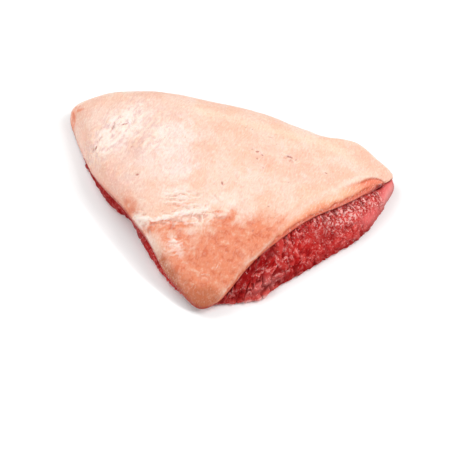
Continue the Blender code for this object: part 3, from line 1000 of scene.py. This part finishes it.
def fat_finish(look):
    """Moist fat under a thin membrane, from cream and white to salmon."""
    finish = meat_finish("Fat", look, (1.0, 0.45, 0.25), Specular_IOR_Level=0.2, Coat_Roughness=0.25)
    read, ramp, times = finish.read, finish.ramp, finish.times
    bent = finish.strayed(finish.at, FAT_COLOUR_BEND)
    broad, blotch, cloud, mottle = finish.noises(bent, FAT_NOISES)
    fuzz = finish.noise(finish.grained(bent, FUZZ_TURN, 3.6 * MM, 1.3 * MM), detail=3.0)
    uneven = finish.centred(blotch)

    def spread(name, reach, low, high):
        """A patch whose edge is broken up by the blotches."""
        return ramp(finish.total(read(name), times(uneven, reach)), low, high)

    salmon = spread("salmon", 0.9, 0.1, 0.85)
    white = spread("white", 1.4, 0.2, 0.85)
    plain = finish.less(1.0, times(salmon, 0.6))
    flushed = times(read("flushed"), finish.total(blotch, 0.5))
    # Painted shade in the grooves between the heel's streaks.
    lilac = times(read("streaked"), read("streak", 0.55, 0.1))
    # Painted shade along the rolled-over rim near the tip, broken up by the blotches.
    dusky = read("dusky")
    dusky = finish.total(times(dusky, 0.8), times(dusky, uneven, 1.6))
    speck = ramp(finish.cells(finish.sized(bent, 6 * MM)), 0.05, 0.16, 1.0, 0.0)
    base = finish.mix(ramp(broad, 0.38, 0.62), opaque(look.cream), opaque(look.peach))
    finish.coloured(base, look, (
        ("butter", 0.85, spread("cream", 0.8, 0.1, 0.8)),
        ("rosy", 0.75, spread("rosy", 1.0, 0.1, 0.9)),
        ("salmon", 0.95, salmon),
        ("russet", 0.65, salmon, ramp(cloud, 0.5, 0.66)),
        ("peach", 0.6, salmon, ramp(cloud, 0.45, 0.3)),
        ("rosy", 0.45, plain, ramp(mottle, 0.5, 0.68)),
        ("salmon", 0.5, ramp(flushed, 0.05, 0.9)),
        ("membrane", 0.9, white, ramp(mottle, 0.3, 0.6, 0.4, 1.0)),
        # painted shade in the streaks' grooves, and whitish membrane on their crowns, partly a
        # painted highlight
        ("lilac", 0.8, lilac, ramp(fuzz, 0.3, 0.55, 0.4, 1.0)),
        ("membrane", 0.7, read("streak", 0.45, 0.9)),
        # whitish membrane on the wrinkles' crowns, partly a painted highlight, and painted shade
        # beside them
        ("membrane", 0.65, read("wrinkle", 0.35, 0.85)),
        ("lilac", 0.4, read("wrinkled"), read("wrinkle", 0.2, 0.0), ramp(mottle, 0.4, 0.6)),
        # whitish membrane on the folds' ridges, partly a painted highlight, and painted shade in
        # their hollows
        ("membrane", 0.9, read("fold", 0.1, 0.55)),
        ("crease", 0.7, read("fold", -0.15, -0.6)),
        # painted shade where the fat rolls over near the tip
        ("tan", 0.9, ramp(dusky, 0.05, 0.8)),
        ("amber", 0.85, plain, read("band")),
        ("rind", 0.9, read("rind")),
        ("lower_rind", 0.9, read("low")),
        # a darker line along the cut edge and round the nose, partly painted shade of its groove
        ("groove", 1.0, read("groove")),
        # a pale line along the top of the cut edge, partly whitish membrane and partly a painted
        # highlight
        ("membrane", 0.75, plain, read("edge")),
        ("seam", 0.85, read("redden")),
        ("seam", 1.0, read("lip")),
        # painted shade of a slit between the nose and the lean
        ("gap", 1.0, read("gap")),
        ("nick", 0.9, read("nick", 0.1, 0.6)),
        ("nick", 0.4, speck, ramp(blotch, 0.5, 0.6)),
        ("russet", 0.22, ramp(fuzz, 0.5, 0.75)),
        ("membrane", 0.35, plain, ramp(fuzz, 0.5, 0.3)),
    ))
    moist = ramp(mottle, 0.4, 0.75, 0.0, look.wetness)
    finish.wetted(look, blotch, times(moist, finish.less(1.0, read("gap"))))
    finish.grained_by(finish.total(mottle, times(fuzz, 0.5)), look.grain_depth)
    return finish.material


def lean_finish(look):
    """Wet lean meat, crimson where it is deep and pink on the bundles' crowns."""
    finish = meat_finish("Lean", look, (1.0, 0.2, 0.15), Specular_IOR_Level=0.08, Coat_Roughness=0.12)
    read, ramp, times = finish.read, finish.ramp, finish.times
    broad, blotch, fine = finish.noises(finish.at, LEAN_NOISES)
    bundle, strand, pale = read("bundle"), read("strand"), read("pale")
    gleam = times(ramp(strand, 0.7, 1.0), ramp(fine, 0.5, 0.6))
    smooth = ramp(finish.total(read("pink"), times(blotch, 0.4)), 0.4, 0.9)
    base = finish.mix(ramp(broad, 0.42, 0.58), opaque(look.crimson), opaque(look.rose))
    finish.coloured(base, look, (
        ("pink", 0.5, read("tone", 0.45, 1.0)),
        ("rose", 0.5, ramp(blotch, 0.48, 0.6)),
        # painted shade between the strands and at the bundles' edges
        ("dark", 0.85, ramp(strand, 0.35, 0.0), ramp(bundle, 0.8, 0.2)),
        ("pink", 0.65, ramp(strand, 0.3, 0.95), ramp(blotch, 0.44, 0.6)),
        ("pink", 0.4, ramp(bundle, 0.5, 1.0), ramp(broad, 0.5, 0.62)),
        ("pale", 0.8, gleam, ramp(blotch, 0.42, 0.56)),
        # painted highlight on the bundles' upper edges
        ("pink", 0.7, read("web")),
        ("pale", 0.8, read("web"), ramp(fine, 0.4, 0.54)),
        ("pink", 0.65, pale, ramp(broad, 0.35, 0.55, 0.3, 1.0)),
        ("pale", 0.55, pale, ramp(fine, 0.5, 0.62)),
        ("pale", 0.9, read("grain", 0.3, 0.8)),
        ("silverskin", 0.8, smooth),
        ("pale", 0.7, read("film")),
        ("silverskin", 0.3, read("foot"), ramp(blotch, 0.45, 0.6)),
        # painted shade near the ground
        ("dark", 0.6, read("foot")),
        ("pink", 0.5, read("flap", 0.05, 0.4)),
        ("pale", 0.8, read("flap", 0.5, 0.9)),
        # the pale ridges, partly painted highlights
        ("silverskin", 0.75, read("stroke")),
        ("pale", 0.8, read("stroke"), ramp(fine, 0.46, 0.58)),
        # painted shade in the fissures, the notches under the fat, the lean in the fat's shade, under
        # the rim and in the hollow under the nose
        ("dark", 0.8, read("fissure")),
        ("dark", 0.75, read("comb")),
        ("dark", 0.8, read("deep"), ramp(broad, 0.35, 0.6, 0.6, 1.0)),
        ("dark", 0.55, read("shaded")),
        ("dark", 0.9, read("under")),
        ("dark", 0.9, read("hollowed", 0.6, 2.0)),
    ))
    wet = times(ramp(bundle, 0.3, 0.8), ramp(blotch, 0.45, 0.62))
    recessed = finish.total(read("deep"), read("under"), read("shaded"))
    open_air = ramp(recessed, 0.3, 0.9, 1.0, 0.15)
    finish.wetted(look, fine, times(wet, look.wetness, open_air))
    finish.grained_by(finish.total(times(fine, 0.7), blotch), look.grain_depth)
    return finish.material


def fleck_finish(look):
    """Pale slivers of fat, pinker where they are thin."""
    finish = Finish("Flecks", Subsurface_Weight=0.3, Subsurface_Scale=2 * MM, Roughness=0.3)
    mottle = finish.noise(finish.at, 1.5 * MM, 3.0)
    thin = finish.ramp(mottle, 0.35, 0.65)
    finish.set("Base Color", finish.mix(thin, opaque(look.fleck), opaque(look.thin_fleck)))
    finish.grained_by(mottle, 0.2 * MM)
    return finish.material


# Settings that a user would change

# What each kind of relief is, and its sizes.
FAT_RELIEF = {
    "lump": ("the broad lumps", {"size": 30, "height": 2.4}),
    "dimple": ("the small dimples", {"size": 8, "height": 0.7}),
    "wrinkle": ("the membrane's wrinkles", {"length": 9, "width": 3.6, "height": 1.0}),
    "streak": ("the streaks on the heel", {"length": 14, "width": 3.2, "height": 1.2}),
    "fibre": ("the fibres along the back", {"length": 34, "width": 3, "height": 1.2}),
    "nick": ("the deepest nicks", {"depth": 1}),
    "groove": ("the line along the cut edge", {"depth": 0.8}),
}
LEAN_RELIEF = {
    "bundle": ("the bundles of muscle", {"length": 12, "width": 8, "height": 2.2}),
    "strand": ("the strands in a bundle", {"length": 10, "width": 4.2, "height": 0.7}),
    "fibre": ("the finest fibres", {"length": 4, "width": 1.5, "height": 0.4}),
    "grain": ("the grains in the marbled part", {"length": 2.8, "width": 1.7, "height": 0.8}),
    "swell": ("the broad swells", {"size": 17, "height": 2.8}),
    "comb": ("the notches under the fat", {"length": 16, "width": 3.2, "depth": 0.7}),
    "stroke": ("the pale ridges", {"height": 0.7}),
    "flap": ("the membrane along the lower edge", {"height": 3.4}),
}
FLECKS = {"fleck": ("a sliver of fat", {"length": 2.4, "width": 0.8, "height": 0.4})}

# What each colour is, and how it shows on a screen.
FAT_COLOURS = {
    "cream": ("Fat under clear membrane", 235, 206, 188),
    "peach": ("Warmer fat", 234, 192, 168),
    "butter": ("Yellower fat on the ridges", 237, 209, 184),
    "rosy": ("Pinker fat", 237, 181, 158),
    "membrane": ("Whitish membrane", 246, 228, 217),
    # painted shade in the membrane's streaks and beside its wrinkles
    "lilac": ("Greyish streaks of the membrane", 212, 172, 168),
    "salmon": ("Thin fat over the lean", 227, 137, 101),
    # painted shade in the hollows of the folds
    "russet": ("Deepest tone of the thin fat", 210, 108, 76),
    "crease": ("Bottom of the folds", 214, 156, 136),
    "amber": ("Fat just above its cut edge", 240, 178, 142),
    "rind": ("Cut edge of the fat", 240, 150, 114),
    "lower_rind": ("Cut edge of the fat next to the lean", 222, 108, 86),
    # darker line of the cut edge, partly painted shade of its groove
    "groove": ("Groove along the cut edge", 196, 92, 62),
    "seam": ("Underside of the fat's edge", 160, 40, 32),
    # painted shade of the fat rolled over at the tip
    "tan": ("Fat rolled over at the tip", 186, 102, 68),
    # painted shade of the slit under the end of the cut edge
    "gap": ("Slit under the end of the cut edge", 126, 4, 4),
    "nick": ("Small slits and pits", 186, 120, 108),
}
LEAN_COLOURS = {
    "crimson": ("Deep lean", 162, 12, 16),
    "rose": ("Lighter lean", 194, 27, 26),
    "pink": ("Crowns of the bundles", 224, 80, 72),
    # also laid as painted highlights on the strands, the bundles' upper edges and the pale ridges
    "pale": ("Marbled part of the cut", 248, 188, 182),
    "silverskin": ("Smooth thin membrane", 232, 100, 98),
    # painted shade, laid in the fissures, notches and hollows, under and beside the fat and near the
    # ground
    "dark": ("Fissures and the lean under the rim", 126, 3, 5),
    "fleck": ("Slivers of fat", 240, 184, 174),
    "thin_fleck": ("Slivers of fat that let the lean through", 224, 122, 116),
}

# What each light is, its power, its side and where it stands, in metres.
LIGHTS = {
    "key": ("Soft light from the right", 6.4, 500, (0.75, 0.2, 1.0)),
    "sheen": ("Soft light from behind on the left", 7, 700, (-0.65, 0.6, 0.95)),
    "fill": ("Soft light from the front left", 6.6, 600, (-0.85, -0.75, 0.8)),
    "glint": ("Small light that makes wet places shine", 3, 70, (0.85, -0.1, 0.7)),
}
LOOKS_AT = Vector((0.0108, -0.01708, 0.0))    # what the camera looks at, on the floor


def shown_as(name):
    """A setting's name as a user reads it."""
    return name.replace("_", " ").capitalize()


def number(label, text, default, **limits):
    return bpy.props.FloatProperty(name=label, description=text, default=default, **limits)


def size(label, text, millimetres):
    return number(label, text, millimetres * MM, min=0.0, unit="LENGTH")


def share(label, text, default, most=1.0):
    return number(label, text, default, min=0.0, max=most, subtype="FACTOR")


def angle(label, text, degrees):
    return number(label, text, math.radians(degrees), subtype="ANGLE")


def paint(label, text, *shown):
    return bpy.props.FloatVectorProperty(
        name=label,
        description=text,
        default=[linear(part) for part in shown],
        min=0.0,
        max=1.0,
        subtype="COLOR",
    )


def paints(colours):
    """A setting for each colour."""
    return {name: paint(shown_as(name), *colour) for name, colour in colours.items()}


def relief(kinds):
    """A setting for each size of each kind of relief, such as lump_height."""
    return {
        f"{kind}_{part}": size(shown_as(f"{kind}_{part}"), f"{part.capitalize()} of {text}", length)
        for kind, (text, sizes) in kinds.items()
        for part, length in sizes.items()
    }


def surface(moist, dry, wet, soft, deep, grain):
    """The settings of a soft, moist surface, from their defaults."""
    return {
        "gloss_low": share("Roughness, moist", "Roughness where it is moist", moist),
        "gloss_high": share("Roughness, dry", "Roughness where it is dry", dry),
        "wetness": share("Wetness", "Strength of the thin wet coat", wet),
        "softness": share("Softness", "How much light passes through", soft),
        "soft_depth": size("Soft depth", "How far the light goes in", deep),
        "grain_depth": size("Grain depth", "Depth of the finest grain", grain),
    }


def lights():
    """A setting for each light's power and one for its side."""
    made = {}
    for name, (text, watts, side, _) in LIGHTS.items():
        made[name] = number(f"{name.capitalize()} light", text, watts, min=0.0, unit="POWER")
        made[f"{name}_size"] = size(f"{name.capitalize()} size", f"Side of the {name} light", side)
    return made


class FatSettings(bpy.types.PropertyGroup):
    """Sizes and colours of the fat cap."""

    __annotations__ = {
        **relief(FAT_RELIEF),
        **paints(FAT_COLOURS),
        **surface(0.34, 0.5, 0.35, 0.25, 3.5, 0.35),
    }


class LeanSettings(bpy.types.PropertyGroup):
    """Sizes and colours of the lean and its flecks."""

    __annotations__ = {
        **relief(LEAN_RELIEF),
        **relief(FLECKS),
        "flecks": number("Flecks in a square metre", "How thickly they lie", 14000, min=0),
        **paints(LEAN_COLOURS),
        **surface(0.24, 0.45, 0.5, 0.12, 2.0, 0.5),
    }


class StageSettings(bpy.types.PropertyGroup):
    """The floor, the lights and the camera."""

    __annotations__ = {
        "floor_size": size("Floor size", "Side of the floor", 6000),
        "floor": paint("Floor", "Colour of the floor", 250, 250, 250),
        "sky": share("Surround", "Strength of the white surround", 0.32, most=2.0),
        **lights(),
        "far": size("Camera distance", "From the camera to what it looks at", 1080),
        "turn": angle("Camera turn", "How far to the right of the front the camera stands", 9.91),
        "rise": angle("Camera rise", "How far above the horizon the camera stands", 53.4),
        "lens": number("Focal length", "Of the camera", 93.44, unit="CAMERA"),
    }


# Pieces


def thin_at(way):
    """One in how many points a ring keeps, at a share of the way to the middle."""
    return 2 ** sum(way >= start for start in FAT_HALVES_AT)


def fat_skin():
    """The fat cap's closed skin: a coarse underside, the rim, and a dense top."""
    outline = Outline(FAT_STEPS)
    lip, span = outline.at.lip, outline.span
    rings = []
    for way, thin in UNDERSIDE:
        points = outline.under(lip + (span - lip) * way)[:, 0]
        rings.append(ring(points, thin, -1.0, 0.0))
    rim = lifted(outline.rim, outline.at.rim_z[:, 0])
    halfway = (outline.under(lip)[:, 0] + rim) / 2
    rings.append(ring(halfway, 1, -0.5, 0.0))
    insets, lengths = outline.even_insets(FAT_RINGS)
    over = outline.top(insets)
    for k in range(FAT_RINGS):
        rings.append(ring(over[:, k], thin_at(k / FAT_RINGS), lengths[:, k], 1.0))
    crown = CROWN.height(MIDDLE)
    mesh, rows = loft("fat", (*MIDDLE, crown - FAT_IN_MIDDLE), rings, (*MIDDLE, crown))

    plan, from_rim, over_top = rows[:, :2], rows[:, 3], rows[:, 4]
    cut = outline.along < CUT_LENGTH
    line = np.hstack([outline.rim, outline.at.rim_z])[cut][::RIM_THINNED]
    signed, share = beside(plan, line[:, :2])
    rim_height = np.interp(share, beside(line[:, :2], line[:, :2])[1], line[:, 2])
    up = np.hypot(signed, rows[:, 2] - rim_height)
    wavy = up + EDGE_STRAY * waves(plan, size=6, seed=4)
    at = share * CUT_LENGTH
    edge, nose = read_along(Edge, CUT_EDGE, at), read_along(Nose, NOSE, at)
    there = over_top * smooth_step(share, 0.0, 0.06) * smooth_step(share, 0.98, 0.95)
    swollen = there * nose.share * smooth_step(up, nose.top + 0.6, nose.top - 1.0)
    raised = swollen * smooth_step(up, nose.top + 0.5, 0.4 * nose.top)
    fading = np.maximum(0.7 * (edge.rind - edge.lip), 0.5)
    orange = smooth_step(wavy, edge.rind, edge.rind - fading)
    low = edge.groove * smooth_step(wavy, edge.lip + 0.4, edge.lip - 0.8)
    notched = np.clip(0.85 + 0.35 * waves(plan, size=3, seed=5), 0.0, 1.0)
    groove = edge.groove * notched * bell(wavy - edge.lip, 1.1)
    redden = patched(plan, REDDENED)
    redden_to = np.maximum(5.0 * redden, 1.5)
    masks = {name: patched(plan, patches) * over_top for name, patches in FAT_MASKS.items()}
    hangs = patched(plan, BULGES) * bell(from_rim, RIM_REACH) * over_top
    store(mesh, {
        **masks,
        "crease": creased(plan) * smooth_step(from_rim, 2.0, 9.0),
        "bare": over_top * smooth_step(from_rim, 0.0, 6.0),
        "bulge": hangs + SWOLLEN_HEIGHT * raised,
        "band": there * smooth_step(wavy, 0.9 * edge.reach, 0.55 * edge.reach),
        "rind": np.maximum(there * orange, swollen),
        "low": np.maximum(there * low, 0.65 * swollen),
        # a groove along the cut edge and round the nose, its colour partly painted shade
        "groove": there * np.maximum(groove, nose.share * bell(up - nose.top, 1.3)),
        # a pale line along the top of the cut edge, partly a painted highlight
        "edge": there * edge.line * bell(wavy - edge.reach, 0.6 + 0.12 * edge.reach),
        "redden": np.minimum(redden, 1) * smooth_step(from_rim, redden_to, 1.0),
        "lip": smooth_step(from_rim, 0.9, -0.2),
        "flushed": patched(plan, FLUSHED) * smooth_step(from_rim, 9.0, 3.0) * over_top,
        # painted shade of a slit between the nose and the lean
        "gap": patched(plan, SLIT_SHADE) * smooth_step(from_rim, 3.2, 2.0),
    })
    return show("fat_skin", mesh)


def lean_skin():
    """The lean's closed skin: a flat sole, the dense side, and a coarse top under the fat."""
    outline = Outline(LEAN_STEPS)
    lip, span, along = outline.at.lip, outline.span, outline.along
    away = outline.foot - MIDDLE
    reach = np.linalg.norm(away, axis=1)[:, None]
    rings = []
    for way, thin in LEAN_SOLE:
        plan = MIDDLE + away * way * (1 - FOOT_ROUND / reach)
        rings.append(ring(lifted(plan, np.zeros(ROUND)), thin, along, SOLE_DOWN, 0.0))
    shares = np.linspace(1.0, 0.0, LEAN_RINGS)
    side = outline.side(np.broadcast_to(shares, (ROUND, LEAN_RINGS)))
    height = np.linalg.norm(side[:, -1] - side[:, 0], axis=1)
    for k in range(LEAN_RINGS):
        down = height * shares[k]
        points = side[:, k].copy()
        back = TUCK * bell(down, TUCK_REACH)[:, None]
        points[:, :2] += away / reach * (patched(points[:, :2], SWOLLEN)[:, None] - back)
        rings.append(ring(points, 1, along, down, smooth_step(points[:, 2], 0.2, 4.5)))
    for way, thin in LEAN_TOP:
        points = outline.under(lip + TUCK + (span - lip - TUCK) * way, SEAM_GAP)[:, 0]
        rings.append(ring(points, thin, along, 0.0, 0.0))
    crown = CROWN.height(MIDDLE) - FAT_IN_MIDDLE - SEAM_GAP
    mesh, rows = loft("lean", (*MIDDLE, 0.0), rings, (*MIDDLE, crown))

    plan, (x, _, z, s, t, free) = rows[:, :2], rows.T
    broadened = s - BROAD_SHARE * np.minimum(s, BROAD_UNTIL)
    cut = smooth_step(x, 0.0, 30.0)
    right = smooth_step(x, 60.0, 80.0)
    masks = {name: patched(plan, patches) * free for name, patches in LEAN_MASKS.items()}
    smooth = np.minimum(patched(plan, LEAN_MASKS["pink"]), 1)
    store(mesh, {
        **masks,
        "free": free,
        "along": broadened * MM,
        "down": t * MM,
        # The gap under the nose, sunk in and darkened with painted shade.
        "hollowed": patched(plan, HOLLOWS) * smooth_step(t, 5.0, 2.0),
        "stroke": patched(np.column_stack([broadened, t]), STROKES) * free,
        "combed": right * smooth_step(t, 12.0, 4.0) * free * (1 - smooth),
        # The lean near the ground: a thin film, and painted shade there.
        "foot": cut * smooth_step(z, 14.0, 2.0) * (z > 0),
        "flecked": cut * free * smooth_step(z, 1.2, 4.0) * smooth_step(t, 1.0, 4.0),
        "flap": patched(plan, FLAPS) * (smooth_step(z, 10.0, 1.0) * (z > 0)),
        # The lean just under the fat's rim, darkened there with painted shade.
        "under": cut * smooth_step(t, 3.5, 1.0) * (t > 0),
    })
    return show("lean_skin", mesh)


def sizes_from(look, kinds):
    """A tree's named inputs, from the settings for some kinds of relief."""
    names = [f"{kind}_{part}" for kind, (_, sizes) in kinds.items() for part in sizes]
    return {shown_as(name): getattr(look, name) for name in names}


class PICANHA_OT_fat(bpy.types.Operator):
    """Makes the fat cap, with its membrane, wrinkles, pits and cut edge"""

    bl_idname = "picanha.fat"
    bl_label = "Make the fat cap"

    def execute(self, context):
        look = context.scene.picanha_fat
        sizes = sizes_from(look, FAT_RELIEF)
        piece = grow(fat_skin(), fat_tree(sizes), {**sizes, "Material": fat_finish(look)})
        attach(piece, "root")
        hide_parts("fat_cap")
        return {"FINISHED"}


class PICANHA_OT_lean(bpy.types.Operator):
    """Makes the lean, with the bundles of muscle on its cut face"""

    bl_idname = "picanha.lean"
    bl_label = "Make the lean"

    def execute(self, context):
        look = context.scene.picanha_lean
        sizes = sizes_from(look, LEAN_RELIEF)
        piece = grow(lean_skin(), lean_tree(sizes), {**sizes, "Material": lean_finish(look)})
        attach(piece, "root")
        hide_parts("lean")
        return {"FINISHED"}


class PICANHA_OT_flecks(bpy.types.Operator):
    """Scatters slivers of fat over the lean's cut face"""

    bl_idname = "picanha.flecks"
    bl_label = "Make the flecks"

    def execute(self, context):
        look = context.scene.picanha_lean
        sizes = sizes_from(look, FLECKS)
        sizes["Flecks in a square metre"] = look.flecks
        piece = show("flecks", bpy.data.objects["lean_skin"].data.copy())
        grow(piece, fleck_tree(sizes), {**sizes, "Material": fleck_finish(look)})
        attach(piece, "root")
        return {"FINISHED"}


def aim(thing, place):
    """Puts a light or a camera at a place, turned to what the camera looks at."""
    thing.location = place
    thing.rotation_euler = (thing.location - LOOKS_AT).to_track_quat("Z", "Y").to_euler()


def add_floor(stage):
    half = stage.floor_size / 2
    mesh = bpy.data.meshes.new("floor")
    corners = [(-half, -half, 0), (half, -half, 0), (half, half, 0), (-half, half, 0)]
    mesh.from_pydata(corners, [], [(0, 1, 2, 3)])
    finish = Finish("Floor", Roughness=0.6)
    finish.shader.inputs["Base Color"].default_value = opaque(stage.floor)
    mesh.materials.append(finish.material)
    floor = show("floor", mesh)
    floor.location.z = -0.1 * MM
    floor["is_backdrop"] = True


def add_lights(stage):
    for name, (_, _, _, place) in LIGHTS.items():
        lamp = bpy.data.lights.new(name, "AREA")
        lamp.size = getattr(stage, f"{name}_size")
        lamp.energy = getattr(stage, name)
        aim(show(name, lamp), place)
    world = bpy.data.worlds.new("surround")
    world.use_nodes = True
    sky = world.node_tree.nodes["Background"]
    sky.inputs["Color"].default_value = (1.0, 1.0, 1.0, 1.0)
    sky.inputs["Strength"].default_value = stage.sky
    bpy.context.scene.world = world


def add_camera(stage):
    back = Vector((
        math.sin(stage.turn) * math.cos(stage.rise),
        -math.cos(stage.turn) * math.cos(stage.rise),
        math.sin(stage.rise),
    ))
    camera = bpy.data.cameras.new("camera")
    camera.lens = stage.lens
    thing = show("camera", camera)
    aim(thing, LOOKS_AT + back * stage.far)
    bpy.context.scene.camera = thing


class PICANHA_OT_stage(bpy.types.Operator):
    """Makes the floor, the lights and the camera"""

    bl_idname = "picanha.stage"
    bl_label = "Make the stage"

    def execute(self, context):
        stage = context.scene.picanha_stage
        add_floor(stage)
        add_lights(stage)
        context.scene.view_settings.view_transform = "Standard"
        add_camera(stage)
        return {"FINISHED"}


STEPS = (PICANHA_OT_fat, PICANHA_OT_lean, PICANHA_OT_flecks, PICANHA_OT_stage)
GROUPS = {
    "picanha_fat": FatSettings,
    "picanha_lean": LeanSettings,
    "picanha_stage": StageSettings,
}


class PICANHA_PT_maker(bpy.types.Panel):
    """Lists the steps that make the picanha"""

    bl_label = "Raw picanha"
    bl_idname = "PICANHA_PT_maker"
    bl_space_type = "VIEW_3D"
    bl_region_type = "UI"
    bl_category = "Picanha"

    def draw(self, context):
        for step in STEPS:
            self.layout.operator(step.bl_idname)
        for settings in GROUPS:
            box = self.layout.box()
            group = getattr(context.scene, settings)
            for name in group.__annotations__:
                box.prop(group, name)


def register():
    for group in (*GROUPS.values(), *STEPS, PICANHA_PT_maker):
        bpy.utils.register_class(group)
    for name, group in GROUPS.items():
        setattr(bpy.types.Scene, name, bpy.props.PointerProperty(type=group))


def unregister():
    for name in GROUPS:
        delattr(bpy.types.Scene, name)
    for group in reversed((*GROUPS.values(), *STEPS, PICANHA_PT_maker)):
        bpy.utils.unregister_class(group)


def main():
    register()
    bpy.ops.picanha.fat()
    bpy.ops.picanha.lean()
    bpy.ops.picanha.flecks()
    bpy.ops.picanha.stage()
    boxes = {"cad": CAD_BOX, "visual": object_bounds()}
    plain = {name: [list(corner) for corner in box] for name, box in boxes.items()}


if __name__ == "__main__":
    main()
